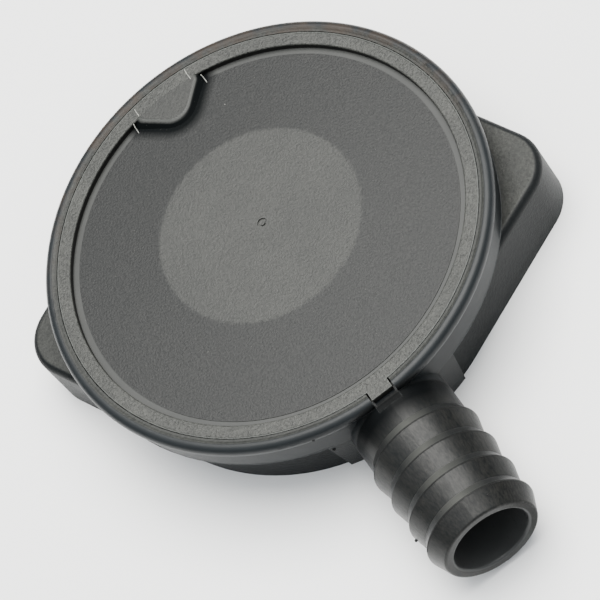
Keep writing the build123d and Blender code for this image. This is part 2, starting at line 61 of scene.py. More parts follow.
# Places on the valve, in millimetres. Levels are heights above the base face.
HOUSING_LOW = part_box("housing")[0]
NIPPLE_ANGLE = math.radians(-69.7)
VENT_ANGLE = NIPPLE_ANGLE + math.pi

# Cover: a ring round a recessed disc, with a paler zone in it and the vent pad at its edge
RING_LEVEL = 22.5
RING_OUTER = 42.2
RING_INNER = 39.5
RECESS_RADIUS = 38.2
RECESS_LEVEL = 21.25
DISC_SLOPE = 0.75 / 15.9
ZONE_RADIUS = 20.3
ZONE_SHIFT = 2
ZONE_CENTRE = (ZONE_SHIFT * math.cos(VENT_ANGLE), ZONE_SHIFT * math.sin(VENT_ANGLE))
ZONE_BLUR = 0.35
ZONE_FRAY = 0.9
PAD_TIP_CENTRE = 36.9
PAD_TIP_RADIUS = 3.4
PAD_HALF = 6.3
PAD_SPREAD = 2.1

# Housing: a drum with a bead on a base with ears, and a nipple with four ribs
DRUM_FOOT_RADIUS = 43.8
DRUM_FOOT_LEVEL = 14.2
EAR_LEVEL = DRUM_FOOT_LEVEL
BEAD_FOOT_LEVEL = 19.8
NIPPLE_LEVEL = 11.25
CREST_RADIUS = 11.15
BORE_RADIUS = 7.65
RIB_START = 50.8
RIB_PITCH = 6.25
RIB_RISE = 1.9

# Inside: the spring from its cup to the plate
SPRING_FOOT = 9.5
SPRING_TOP = 15.9

# Camera, as the photograph was taken: a long lens above the nipple's side, turned on its axis
CAMERA_AZIMUTH = math.radians(24)
CAMERA_ELEVATION = math.radians(56)
CAMERA_ROLL = math.radians(-40.4)
CAMERA_DISTANCE = 688.7
CAMERA_LENS = 222
AIM_RIGHT = 6.74
AIM_DOWN = 12.94

# Studio
FLOOR_REACH = 3.0
FLOOR_GAP = 0.02
FLOOR_WHITE = 0.95
SKY_COLOUR = (0.93, 0.97, 1, 1)
SKY_RANGE = {"From Min": 0.3, "From Max": 0.95, "To Min": 0.3, "To Max": 2.4}
LIGHT_PLACE = (0.08, 0.22, 0.95)
LIGHT_SIZE = 0.85
LIGHT_POWER = 28
LIGHT_COLOUR = (1, 0.985, 0.94)


# Node materials

class Finish:
    """A node material on a Principled shader, with short names for the nodes that make it."""

    def __init__(self, name):
        self.material = bpy.data.materials.new(name)
        self.material.use_nodes = True
        self.tree = self.material.node_tree
        self.shader = self.tree.nodes["Principled BSDF"]
        place = self.tree.nodes.new("ShaderNodeTexCoord").outputs["Object"]
        self.place = self.vector("SCALE", place, scale=1 / MM)
        parts = self.tree.nodes.new("ShaderNodeSeparateXYZ")
        self.tree.links.new(self.place, parts.inputs[0])
        self.x, self.y, self.z = parts.outputs
        self.relief = None

    def put(self, value, socket):
        """Links a socket to a node's output, or sets it to a plain value."""
        if isinstance(value, bpy.types.NodeSocket):
            self.tree.links.new(value, socket)
        else:
            socket.default_value = value

    def math(self, operation, *values):
        node = self.tree.nodes.new("ShaderNodeMath")
        node.operation = operation
        for value, socket in zip(values, node.inputs):
            self.put(value, socket)
        return node.outputs[0]

    def times(self, *values):
        """The product of masks or numbers."""
        product = values[0]
        for value in values[1:]:
            product = self.math("MULTIPLY", product, value)
        return product

    def most(self, *values):
        """The largest of some masks."""
        largest = values[0]
        for value in values[1:]:
            largest = self.math("MAXIMUM", largest, value)
        return largest

    def outside(self, mask):
        """1 where the mask is 0."""
        return self.math("SUBTRACT", 1.0, mask)

    def diagonal(self, first, second):
        """The length of a line whose two square components are given."""
        squares = self.math("ADD", self.times(first, first), self.times(second, second))
        return self.math("SQRT", squares)

    def vector(self, operation, *values, scale=None):
        node = self.tree.nodes.new("ShaderNodeVectorMath")
        node.operation = operation
        for value, socket in zip(values, node.inputs):
            self.put(value, socket)
        if scale is not None:
            node.inputs["Scale"].default_value = scale
        return node.outputs["Value" if operation == "DOT_PRODUCT" else "Vector"]

    def step(self, value, start, end, low=0.0, high=1.0):
        """Goes from low to high while the value goes from start to end."""
        node = self.tree.nodes.new("ShaderNodeMapRange")
        self.put(value, node.inputs["Value"])
        ends = {"From Min": start, "From Max": end, "To Min": low, "To Max": high}
        for name, number in ends.items():
            self.put(number, node.inputs[name])
        return node.outputs["Result"]

    def noise(self, size, detail=2.0, roughness=0.5, stretch=(1, 1, 1), turn=0.0):
        """Noise with patches of a size in millimetres, stretched and turned about Z."""
        mapping = self.tree.nodes.new("ShaderNodeMapping")
        mapping.vector_type = "TEXTURE"
        self.tree.links.new(self.place, mapping.inputs["Vector"])
        mapping.inputs["Scale"].default_value = tuple(size * s for s in stretch)
        mapping.inputs["Rotation"].default_value = (0, 0, turn)
        node = self.tree.nodes.new("ShaderNodeTexNoise")
        self.tree.links.new(mapping.outputs[0], node.inputs["Vector"])
        node.inputs["Scale"].default_value = 1
        node.inputs["Detail"].default_value = detail
        node.inputs["Roughness"].default_value = roughness
        return node.outputs[0]

    def mix(self, share, low, high):
        """A colour or a number between two others."""
        node = self.tree.nodes.new("ShaderNodeMix")
        colour = any(
            isinstance(v, tuple) or getattr(v, "type", "") == "RGBA" for v in (low, high)
        )
        node.data_type = "RGBA" if colour else "FLOAT"
        # The node keeps a pair of sockets for each type: 2 and 3 hold numbers, 6 and 7 colours
        first, second = (6, 7) if colour else (2, 3)
        self.put(share, node.inputs[0])
        for value, socket in ((low, node.inputs[first]), (high, node.inputs[second])):
            self.put((*value, 1) if isinstance(value, tuple) else value, socket)
        return node.outputs[2 if colour else 0]

    def radius(self, centre=(0, 0)):
        """Distance from an upright axis, in millimetres."""
        dx = self.math("SUBTRACT", self.x, centre[0])
        dy = self.math("SUBTRACT", self.y, centre[1])
        return self.diagonal(dx, dy)

    def along(self, angle):
        """Distance outwards at an angle, in millimetres."""
        return self.vector("DOT_PRODUCT", self.place, (math.cos(angle), math.sin(angle), 0))

    def from_pad(self):
        """Distance from the vent pad's top outline: a round tip, then slanting and straight sides."""
        ahead = self.math("SUBTRACT", self.along(VENT_ANGLE), PAD_TIP_CENTRE)
        across = self.math("ABSOLUTE", self.along(VENT_ANGLE + math.pi / 2))
        round_tip = self.math("SUBTRACT", self.diagonal(ahead, across), PAD_TIP_RADIUS)
        slant = self.times(self.math("SUBTRACT", across, ahead), math.sqrt(0.5))
        slant = self.math("SUBTRACT", slant, PAD_TIP_RADIUS)
        past_tip = self.step(self.math("ADD", across, ahead), -0.01, 0.01)
        straight = self.math("SUBTRACT", across, PAD_HALF)
        return self.most(self.mix(past_tip, round_tip, slant), straight)

    def normal(self):
        """The direction that the surface faces, without relief."""
        return self.tree.nodes.new("ShaderNodeNewGeometry").outputs["Normal"]

    def edges(self, width=0.25, start=0.97, end=0.8):
        """1 on sharp edges, 0 on flats."""
        bevel = self.tree.nodes.new("ShaderNodeBevel")
        bevel.samples = 4
        bevel.inputs["Radius"].default_value = width * MM
        return self.step(self.vector("DOT_PRODUCT", bevel.outputs[0], self.normal()), start, end)

    def bump(self, height, depth):
        """Relief with a depth in millimetres, on top of the relief so far."""
        node = self.tree.nodes.new("ShaderNodeBump")
        self.put(height, node.inputs["Height"])
        node.inputs["Strength"].default_value = 1
        self.put(self.times(depth, MM), node.inputs["Distance"])
        if self.relief is not None:
            self.tree.links.new(self.relief, node.inputs["Normal"])
        self.relief = node.outputs[0]

    def done(self, colour, roughness, metal=0.0, index=1.45, gloss=0.5):
        """Sets the shader and gives the material back."""
        self.put(colour, self.shader.inputs["Base Color"])
        self.put(roughness, self.shader.inputs["Roughness"])
        self.shader.inputs["Metallic"].default_value = metal
        self.shader.inputs["IOR"].default_value = index
        self.put(gloss, self.shader.inputs["Specular IOR Level"])
        if self.relief is not None:
            self.tree.links.new(self.relief, self.shader.inputs["Normal"])
        return self.material


def moulded_cover():
    """Black nylon: an even grain on the disc, coarser and paler on the ring, smooth at the pad."""
    f = Finish("cover_nylon")
    fine = f.noise(0.22, 3, 0.6)
    grain = f.noise(0.42, 3, 0.65)
    cloud = f.noise(9, 3)
    speck = f.step(f.noise(0.3, 1, 0.3), 0.76, 0.82)
    radius = f.radius()

    # The zone with a frayed edge, the ring, the recess's border and the ring's inner wall
    fray = f.step(f.noise(1.1, 4, 0.7), 0, 1, -ZONE_FRAY, ZONE_FRAY)
    from_zone = f.math("ADD", f.radius(ZONE_CENTRE), fray)
    zone = f.step(from_zone, ZONE_RADIUS + ZONE_BLUR, ZONE_RADIUS - ZONE_BLUR)
    near_top = f.step(f.z, RING_LEVEL - 0.4, RING_LEVEL - 0.2)
    below_top = f.step(f.z, RING_LEVEL - 0.3, RING_LEVEL - 0.5)
    top = f.step(f.z, RING_LEVEL - 0.06, RING_LEVEL)
    ring = f.times(f.step(radius, RING_INNER - 0.1, RING_INNER), near_top)
    in_recess = f.step(f.z, RECESS_LEVEL + 0.35, RECESS_LEVEL + 0.15)
    border = f.times(f.step(radius, RECESS_RADIUS - 0.1, RECESS_RADIUS), in_recess)
    wall = f.times(below_top, f.step(radius, RING_INNER - 0.05, RING_INNER))
    inside = f.step(radius, RING_INNER + 0.05, RING_INNER - 0.05)

    # The pad, its slope with the shaded side darker, the shadow round its foot and a painted
    # highlight along its top edge
    from_pad = f.from_pad()
    from_border = f.math("SUBTRACT", RECESS_RADIUS, radius)
    disc_level = f.math("MULTIPLY_ADD", from_border, DISC_SLOPE, RECESS_LEVEL)
    raised = f.step(f.math("SUBTRACT", f.z, disc_level), 0.04, 0.1)
    pad = f.times(raised, inside, f.step(from_pad, PAD_SPREAD + 0.4, PAD_SPREAD + 0.2))
    shaded_side = f.step(f.along(VENT_ANGLE + math.pi / 2), 3, -2)
    lit_slope = f.step(f.z, RING_LEVEL - 0.14, RING_LEVEL - 0.75)
    dark_slope = f.step(f.z, RING_LEVEL - 0.08, RING_LEVEL - 0.3)
    slope = f.times(pad, f.mix(shaded_side, lit_slope, dark_slope))
    halo = f.times(f.step(from_pad, PAD_SPREAD + 2.3, PAD_SPREAD + 0.1), below_top)
    shade = f.most(slope, f.times(halo, inside))
    highlight_upper = f.step(f.z, RING_LEVEL - 0.01, RING_LEVEL - 0.05)
    highlight_lower = f.step(f.z, RING_LEVEL - 0.3, RING_LEVEL - 0.2)
    pad_edge_highlight = f.times(pad, highlight_upper, highlight_lower)

    disc_black = f.mix(
        f.step(grain, 0.36, 0.64), (0.002, 0.0024, 0.0025), (0.0125, 0.0128, 0.0123))
    zone_grey = f.mix(
        f.step(grain, 0.3, 0.7), (0.015, 0.0154, 0.0142), (0.032, 0.0325, 0.0296))
    ring_grey = f.mix(
        f.step(grain, 0.32, 0.68), (0.014, 0.0145, 0.0134), (0.052, 0.053, 0.0475))
    border_grey = (0.03, 0.031, 0.0295)
    wall_black = (0.007, 0.0068, 0.006)
    shadow_black = (0.0018, 0.0024, 0.0027)
    pad_highlight_grey = (0.07, 0.072, 0.068)
    cloud_black = (0.005, 0.006, 0.006)
    speck_grey = (0.16, 0.16, 0.14)
    cover_highlight_grey = (0.11, 0.115, 0.11)
    colour = f.mix(zone, disc_black, zone_grey)
    colour = f.mix(f.times(pad, 0.8), colour, zone_grey)
    colour = f.mix(ring, colour, ring_grey)
    colour = f.mix(border, colour, border_grey)
    colour = f.mix(wall, colour, wall_black)
    colour = f.mix(shade, colour, shadow_black)
    # Painted highlight: a paler band along the pad's top edge
    colour = f.mix(f.times(pad_edge_highlight, 0.5), colour, pad_highlight_grey)
    colour = f.mix(f.times(f.step(cloud, 0.35, 0.7), 0.25), colour, cloud_black)
    colour = f.mix(f.times(speck, 0.25), colour, speck_grey)
    # Painted highlight on the edges near the top of the ring and the pad
    cover_edge_highlight = f.times(f.edges(), f.step(f.z, RING_LEVEL - 0.6, RING_LEVEL - 0.3))
    colour = f.mix(f.times(cover_edge_highlight, 0.6), colour, cover_highlight_grey)

    smooth = f.most(slope, wall, border)
    rough = f.mix(zone, 0.5, 0.44)
    rough = f.mix(ring, rough, 0.42)
    rough = f.math("ADD", rough, f.step(fine, 0.2, 0.8, -0.06, 0.06))
    rough = f.mix(smooth, rough, 0.5)
    coarse = f.mix(ring, f.mix(zone, 0.09, 0.12), 0.18)
    f.bump(grain, f.mix(smooth, coarse, 0.004))
    f.bump(fine, f.mix(smooth, 0.02, 0.002))
    f.bump(cloud, f.mix(top, 0.01, 0.03))
    gloss = f.mix(shade, f.mix(wall, 0.5, 0.35), 0.05)
    return f.done(colour, rough, index=1.36, gloss=gloss)


def moulded_housing():
    """Black nylon: grained base and ears, a smooth drum, and a satin nipple with draw marks."""
    f = Finish("housing_nylon")
    grain = f.noise(0.5, 3, 0.7)
    fine = f.noise(0.2, 3, 0.6)
    cloud = f.noise(8, 3)
    streaks = f.noise(1.0, 5, 0.7, stretch=(1.8, 0.4, 0.4), turn=NIPPLE_ANGLE)

    # The drum with its bead, the ears' flat tops, their rounded edges and the upright flanks
    out = f.along(NIPPLE_ANGLE)
    nipple = f.step(out, DRUM_FOOT_RADIUS + 0.4, DRUM_FOOT_RADIUS + 1.2)
    drum_side = f.step(f.radius(), DRUM_FOOT_RADIUS - 0.6, DRUM_FOOT_RADIUS - 0.3)
    drum_height = f.step(f.z, DRUM_FOOT_LEVEL + 0.02, DRUM_FOOT_LEVEL + 0.1)
    drum = f.times(drum_side, drum_height, f.outside(nipple))
    band = f.times(drum, f.step(f.z, BEAD_FOOT_LEVEL, BEAD_FOOT_LEVEL - 0.5))
    bead = f.step(f.z, BEAD_FOOT_LEVEL, BEAD_FOOT_LEVEL + 0.3)
    at_ears = f.step(f.z, EAR_LEVEL - 0.15, EAR_LEVEL - 0.02)
    ear_top = f.times(at_ears, f.outside(f.most(drum, nipple)))
    near_ears = f.step(f.z, EAR_LEVEL - 1.8, EAR_LEVEL - 1.4)
    rounded = f.times(near_ears, f.outside(drum), f.outside(f.most(ear_top, nipple)))
    flank = f.outside(f.most(ear_top, drum, nipple))

    # On the nipple: its bore and the steep backs of its ribs, both made paler as painted light, and
    # the root under the rim, darkened as a painted shadow
    across = f.along(NIPPLE_ANGLE + math.pi / 2)
    above = f.math("SUBTRACT", f.z, NIPPLE_LEVEL)
    from_axis = f.diagonal(across, above)
    bore = f.times(nipple, f.step(from_axis, BORE_RADIUS + 0.6, BORE_RADIUS + 0.3))
    inwards = (-math.cos(NIPPLE_ANGLE), -math.sin(NIPPLE_ANGLE), 0)
    facing_drum = f.vector("DOT_PRODUCT", f.normal(), inwards)
    rib_back = f.times(nipple, f.step(facing_drum, 0.2, 0.45))
    near_top = f.step(f.math("ABSOLUTE", across), 5.5, 0.5)
    root_shade = f.times(nipple, f.step(out, RIB_START + 0.5, RIB_START - 3.5))

    base_black = f.mix(
        f.step(grain, 0.3, 0.7), (0.003, 0.0038, 0.0042), (0.0175, 0.0196, 0.02))
    ear_grey = f.mix(
        f.step(grain, 0.3, 0.7), (0.009, 0.0095, 0.0086), (0.034, 0.035, 0.0315))
    drum_black = f.mix(f.noise(5, 3), (0.0045, 0.006, 0.007), (0.009, 0.0112, 0.0128))
    drawn_black = f.mix(
        f.step(streaks, 0.35, 0.68), (0.0035, 0.0042, 0.0045), (0.0165, 0.0162, 0.0148))
    rib_back_painted_light = f.mix(near_top, (0.012, 0.0125, 0.0125), (0.052, 0.053, 0.049))
    rounded_shade_black = (0.0035, 0.0045, 0.005)
    root_shadow_black = (0.002, 0.0023, 0.0025)
    bore_painted_light_grey = (0.035, 0.036, 0.036)
    flank_shade_black = (0.0028, 0.0034, 0.0038)
    bead_highlight_brown = (0.024, 0.0165, 0.0115)
    cloud_black = (0.003, 0.004, 0.0045)
    housing_highlight_grey = (0.05, 0.054, 0.054)
    colour = f.mix(ear_top, base_black, ear_grey)
    # Painted shade: the ears' rounded edges darkened
    colour = f.mix(rounded, colour, rounded_shade_black)
    colour = f.mix(drum, colour, drum_black)
    colour = f.mix(nipple, colour, drawn_black)
    # Painted light: the steep backs of the ribs, which face the drum, made paler, palest near the top
    colour = f.mix(rib_back, colour, rib_back_painted_light)
    # Painted shadow: the nipple's root under the drum's rim darkened
    colour = f.mix(root_shade, colour, root_shadow_black)
    # Painted light: the bore made paler than the nylon round it
    colour = f.mix(bore, colour, bore_painted_light_grey)
    # Painted shade: the upright flanks of the base darkened, part way
    colour = f.mix(f.times(flank, 0.45), colour, flank_shade_black)
    # Painted highlight: brownish patches on the far side of the bead
    bead_highlight = f.times(bead, f.step(f.y, 0, 30), f.step(f.noise(3, 3), 0.4, 0.6))
    colour = f.mix(f.times(bead_highlight, 0.8), colour, bead_highlight_brown)
    colour = f.mix(f.times(f.step(cloud, 0.4, 0.7), 0.3), colour, cloud_black)
    # Painted highlight on the edges, in patches
    housing_edge_highlight = f.times(f.edges(0.2), f.step(f.noise(0.8, 3), 0.35, 0.6, 0.1, 0.6))
    colour = f.mix(housing_edge_highlight, colour, housing_highlight_grey)

    smooth = f.most(drum, nipple)
    rough = f.mix(nipple, f.mix(drum, 0.5, 0.4), 0.33)
    rough = f.math("ADD", rough, f.step(fine, 0.2, 0.8, -0.06, 0.06))
    rough = f.math("ADD", rough, f.times(nipple, f.step(streaks, 0.3, 0.7, 0.08, -0.06)))
    f.bump(grain, f.mix(smooth, 0.09, 0.008))
    f.bump(fine, f.mix(smooth, 0.02, 0.008))
    f.bump(streaks, f.times(nipple, 0.02))
    f.bump(f.noise(6, 2), f.times(drum, 0.12))
    gloss = f.mix(f.most(flank, band), 0.42, 0.24)
    left_gloss = f.mix(f.step(across, -6, -10), 0.34, 0.28)
    nipple_gloss = f.mix(f.step(across, 3.5, 7.5), left_gloss, 0.1)
    nipple_gloss = f.mix(root_shade, nipple_gloss, 0.06)
    gloss = f.mix(f.times(nipple, f.outside(bore)), gloss, nipple_gloss)
    return f.done(colour, rough, index=1.34, gloss=gloss)


def brighter(colour, factor):
    """A colour with more light, held at white."""
    return tuple(min(1.0, factor * c) for c in colour)


def plain_nylon(name, dark, light, rough=0.5):
    """Moulded nylon with a fine grain and a painted highlight on its edges."""
    f = Finish(name)
    grain = f.noise(0.4, 3, 0.6)
    colour = f.mix(f.step(grain, 0.3, 0.7), dark, light)
    # Painted highlight on the edges
    colour = f.mix(f.times(f.edges(), 0.4), colour, brighter(light, 1.8))
    f.bump(grain, 0.03)
    return f.done(colour, f.step(f.noise(1.5), 0.2, 0.8, rough - 0.08, rough + 0.08))


def worked_metal(name, dark, light, rough, marks, lathed=True):
    """Metal with fine tool marks: rings round the axis where lathed, else drawn straight."""
    f = Finish(name)
    stain = f.noise(2.5, 4, 0.6)
    if lathed:
        line = f.math("SINE", f.times(f.radius(), TURN / marks))
    else:
        line = f.noise(marks, 3, 0.7, stretch=(1, 1, 12))
    colour = f.mix(f.step(stain, 0.35, 0.7), light, dark)
    # Painted highlight on the edges
    colour = f.mix(f.times(f.edges(0.12), 0.5), colour, brighter(light, 1.25))
    f.bump(line, 0.004)
    f.bump(f.noise(0.3, 3), 0.004)
    return f.done(colour, f.step(stain, 0.3, 0.75, rough, rough + 0.15), metal=1.0)


def sintered_bronze(name, dark, light):
    """Small grains of bronze with dark pores between them."""
    f = Finish(name)
    cells = f.tree.nodes.new("ShaderNodeTexVoronoi")
    f.tree.links.new(f.place, cells.inputs["Vector"])
    cells.inputs["Scale"].default_value = 4
    pore = f.step(cells.outputs["Distance"], 0.35, 0.62)
    colour = f.mix(pore, light, dark)
    colour = f.mix(f.times(f.step(f.noise(1.2, 3), 0.45, 0.7), 0.5), colour, dark)
    f.bump(pore, -0.06)
    return f.done(colour, f.step(f.noise(0.6), 0.2, 0.8, 0.32, 0.52), metal=1.0)


def moulded_rubber(name, dark, light):
    """Matt rubber with bloom in patches, a fine skin and a painted highlight on its edges."""
    f = Finish(name)
    skin = f.noise(0.25, 3, 0.6)
    colour = f.mix(f.step(f.noise(2.2, 4, 0.6), 0.38, 0.7), dark, light)
    # Painted highlight on the edges
    colour = f.mix(f.times(f.edges(), 0.35), colour, brighter(light, 2))
    f.bump(skin, 0.012)
    return f.done(colour, f.step(skin, 0.2, 0.8, 0.62, 0.78), index=1.4)


def trim_finish(name, size, grain_range, dark, light, depth, rough_range, index):
    """Nylon trim left by the mould: one grain for its colour, relief and roughness."""
    f = Finish(name)
    grain = f.noise(*size)
    colour = f.mix(f.step(grain, *grain_range), dark, light)
    f.bump(grain, depth)
    return f.done(colour, f.step(grain, 0.2, 0.8, *rough_range), index=index)


def dress_nodes():
    """Every CAD node gets its own finish: dark and light colour, then roughness and tool marks."""
    insert_brass = (0.5, 0.36, 0.15), (0.74, 0.56, 0.27), 0.22, 0.5
    finishes = {
        "housing": moulded_housing(),
        "cover": moulded_cover(),
        "duct_plate": plain_nylon("plate_nylon", (0.008, 0.009, 0.009), (0.016, 0.017, 0.017)),
        "support_plate": plain_nylon("support_nylon", (0.5, 0.47, 0.39), (0.62, 0.59, 0.5), 0.45),
        "guide_pin": worked_metal(
            "pin_steel", (0.42, 0.42, 0.43), (0.62, 0.62, 0.63), 0.18, 0.2, lathed=False),
        "spring_cup": worked_metal("cup_steel", (0.4, 0.4, 0.4), (0.58, 0.58, 0.57), 0.3, 0.35),
        "pressure_spring": worked_metal(
            "spring_steel", (0.33, 0.33, 0.34), (0.52, 0.52, 0.53), 0.28, 0.2, lathed=False),
        "clamp_plate": worked_metal(
            "clamp_steel", (0.42, 0.42, 0.42), (0.6, 0.6, 0.59), 0.28, 0.4),
        "push_nut": worked_metal("nut_steel", (0.2, 0.19, 0.18), (0.42, 0.41, 0.4), 0.34, 0.3),
        "seat_ring": worked_metal("seat_brass", (0.5, 0.34, 0.13), (0.72, 0.53, 0.24), 0.2, 0.25),
        "guide_bush": sintered_bronze("bush_bronze", (0.2, 0.11, 0.05), (0.55, 0.36, 0.18)),
        "vent_filter": sintered_bronze("filter_bronze", (0.16, 0.09, 0.04), (0.5, 0.33, 0.17)),
        "threaded_insert_left": worked_metal("insert_brass_left", *insert_brass),
        "threaded_insert_right": worked_metal("insert_brass_right", *insert_brass),
        "valve_pad": moulded_rubber("pad_rubber", (0.012, 0.012, 0.012), (0.03, 0.03, 0.029)),
        "rolling_diaphragm": moulded_rubber(
            "diaphragm_rubber", (0.014, 0.012, 0.01), (0.034, 0.03, 0.026)),
        "base_seal": moulded_rubber("seal_rubber", (0.02, 0.055, 0.028), (0.04, 0.1, 0.052)),
    }
    for name, material in finishes.items():
        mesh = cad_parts[name].data
        mesh.materials.clear()
        mesh.materials.append(material)
    return finishes


# Pieces built in mesh code

def make_piece(name, points, faces, material):
    """A smooth mesh object from points in millimetres, with all its faces looking outwards."""
    mesh = bpy.data.meshes.new(name)
    mesh.from_pydata([tuple(c * MM for c in p) for p in points], [], faces)
    skin = bmesh.new()
    skin.from_mesh(mesh)
    bmesh.ops.recalc_face_normals(skin, faces=skin.faces)
    skin.to_mesh(mesh)
    skin.free()
    mesh.materials.append(material)
    for polygon in mesh.polygons:
        polygon.use_smooth = True
    piece = bpy.data.objects.new(name, mesh)
    bpy.context.scene.collection.objects.link(piece)
    return piece


def loft(rings, closed):
    """The points and faces of a skin through rings of points, closed to the first or capped."""
    points = [p for ring in rings for p in ring]
    count = len(rings[0])
    faces = []
    for i in range(len(rings) if closed else len(rings) - 1):
        here, there = i * count, (i + 1) % len(rings) * count
        for j in range(count):
            k = (j + 1) % count
            faces.append((here + j, here + k, there + k, there + j))
    if not closed:
        faces.append(tuple(range(count)))
        faces.append(tuple(reversed(range(len(points) - count, len(points)))))
    return points, faces


def turned(radius, angle, level):
    """A point at a radius, an angle and a level."""
    return (radius * math.cos(angle), radius * math.sin(angle), level)


def thread_along(name, path, thickness, material, sides=6, seed=0.0, ragged=0.0):
    """A thin rod along a path, with ends that close to a point and a ragged thickness."""
    rings = []
    for i, place in enumerate(path):
        ahead = Vector(path[min(i + 1, len(path) - 1)]) - Vector(path[max(i - 1, 0)])
        ahead.normalize()
        side = ahead.cross(Vector((0, 0, 1))).normalized()
        up = side.cross(ahead)
        share = 0.05 if i in (0, len(path) - 1) else 1.0
        wobble = 1 + ragged * noise.noise(Vector((seed, i * 0.7, 0)))
        size = thickness * share * wobble
        rings.append([
            tuple(Vector(place) + size * (side * math.cos(a) + up * math.sin(a)))
            for a in (TURN * k / sides for k in range(sides))
        ])
    return make_piece(name, *loft(rings, closed=False), material)


def build_ring_flash(material):
    """The torn fringe that the mould left round the top of the cover's ring."""
    longest, count = 0.14, 900
    rings = []
    for i in range(count):
        angle = TURN * i / count
        spot = Vector(turned(40, angle, 3.1))
        broad = 0.5 + 0.5 * noise.noise(spot * 0.12)
        torn = max(0.0, noise.noise(spot * 1.3)) + 0.5 * max(0.0, noise.noise(spot * 3.1))
        reach = longest * min(1.0, broad * torn * 2.2)
        rings.append([
            turned(RING_OUTER - 0.3, angle, RING_LEVEL - 0.03),
            turned(RING_OUTER - 0.16, angle, RING_LEVEL - 0.01 + 0.1 * reach),
            turned(RING_OUTER + reach, angle, RING_LEVEL - 0.03),
            turned(RING_OUTER - 0.03, angle, RING_LEVEL - 0.14),
        ])
    return make_piece("ring_flash", *loft(rings, closed=True), material)


def build_parting_line_highlight(material):
    """A raised line along the drum's foot, up to the nipple, where the mould's halves met; it is
    paler than the drum, a painted highlight along that edge.
    """
    gap, count = math.radians(17), 420
    start, end = NIPPLE_ANGLE + gap, NIPPLE_ANGLE + TURN - gap
    path = []
    for i in range(count + 1):
        angle = start + (end - start) * i / count
        wave = 0.03 * noise.noise(Vector((i * 0.09, 4.2, 0)))
        path.append(turned(DRUM_FOOT_RADIUS - 0.02 + wave, angle, DRUM_FOOT_LEVEL + 0.1))
    return thread_along("drum_parting_line_highlight", path, 0.085, material, seed=1.3, ragged=0.6)


def build_pad_flash(material):
    """Four short fins at the pad's corners: two on the ring and two down its inner wall."""
    # Each point: outwards along the pad's middle line, across it, and level
    fins = (
        ((41.1, 6.4, 22.55), (40.2, 6.45, 22.6), (38.9, 6.45, 22.55)),
        ((41.5, -5.9, 22.55), (40.2, -5.75, 22.6), (38.5, -5.8, 22.52)),
        ((38.6, 8.2, 22.4), (37.9, 8.35, 21.95), (37.1, 8.4, 21.5), (36.6, 8.45, 21.35)),
        ((38.2, -7.8, 22.4), (37.6, -7.9, 21.95), (36.9, -7.9, 21.5), (36.4, -7.85, 21.35)),
    )
    steps = 6
    to_pad = Matrix.Rotation(VENT_ANGLE, 3, "Z")
    made = []
    for number, fin in enumerate(fins):
        path = []
        for start, end in zip(fin, fin[1:]):
            path += [Vector(start).lerp(Vector(end), k / steps) for k in range(steps)]
        path.append(Vector(fin[-1]))
        path = [tuple(to_pad @ p) for p in path]
        name = f"pad_flash_{number + 1}"
        made.append(thread_along(name, path, 0.09, material, seed=5.0 + number, ragged=0.5))
    return made


def nipple_point(along, radius, turn):
    """A point on the nipple: along its axis, at a radius, turned from straight up."""
    across = Vector((-math.sin(NIPPLE_ANGLE), math.cos(NIPPLE_ANGLE), 0))
    out = Vector((math.cos(NIPPLE_ANGLE), math.sin(NIPPLE_ANGLE), 0))
    spot = out * along + Vector((0, 0, NIPPLE_LEVEL))
    return tuple(spot + radius * (across * math.sin(turn) + Vector((0, 0, 1)) * math.cos(turn)))


def build_nipple_shade_threads(material):
    """Thin dark threads just past the ribs' crests, their darkness painted shade along each rib's
    steep drop.
    """
    spans = ((-1.35, 1.25), (-0.9, 1.3), (-1.1, 1.15), (-1.25, 0.75))
    steps = 48
    made = []
    for rib, (low, high) in enumerate(spans):
        crest = RIB_START + rib * RIB_PITCH + RIB_RISE
        path = []
        for i in range(steps + 1):
            turn = low + (high - low) * i / steps
            wave = 0.02 * noise.noise(Vector((i * 0.3, rib * 3.0, 0)))
            path.append(nipple_point(crest + 0.12 + wave, CREST_RADIUS - 0.04, turn))
        name = f"nipple_shade_thread_{rib + 1}"
        made.append(thread_along(name, path, 0.07, material, seed=rib * 2.0, ragged=0.5))
    return made


def nib(name, place, size, material, seed):
    """A small torn lump, wider than it is high."""
    count, levels = 9, 5
    rings = []
    for i in range(levels + 1):
        rise = math.pi * i / levels
        ring = []
        for k in range(count):
            angle = TURN * k / count
            lump = 1 + 0.35 * noise.noise(Vector(turned(1.7, angle, i + seed)))
            reach = size * lump * max(0.04, math.sin(rise))
            offset = turned(reach, angle, 0.6 * size * math.cos(rise))
            ring.append(tuple(p + d for p, d in zip(place, offset)))
        rings.append(ring)
    return make_piece(name, *loft(rings, closed=False), material)


def build_spring(material):
    """The conical pressure spring, wound from round wire, with flat end coils."""
    turns, steps, flat_share = 3.25, 220, 0.08
    foot_radius, top_radius, wire = 14.4, 12.0, 0.43
    path = []
    for i in range(steps + 1):
        share = i / steps
        rise = min(1.0, max(0.0, (share - flat_share) / (1 - 2 * flat_share)))
        angle = TURN * turns * share
        radius = foot_radius + (top_radius - foot_radius) * share
        level = SPRING_FOOT + wire + (SPRING_TOP - SPRING_FOOT - 2 * wire) * rise
        path.append(turned(radius, angle, level))
    spring = thread_along("wound_spring", path, wire, material, sides=10)
    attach(spring, "valve_body")
    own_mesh(spring)
    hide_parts("pressure_spring")


def sheet_outline(points, thickness):
    """The closed outline of a sheet of even thickness along a line of radii and levels."""
    upper, lower = [], []
    for i, (r, z) in enumerate(points):
        ahead = Vector(points[min(i + 1, len(points) - 1)]) - Vector(points[max(i - 1, 0)])
        side = Vector((-ahead.y, ahead.x)).normalized() * thickness / 2
        upper.append((r + side.x, z + side.y))
        lower.append((r - side.x, z - side.y))
    return upper + lower[::-1]


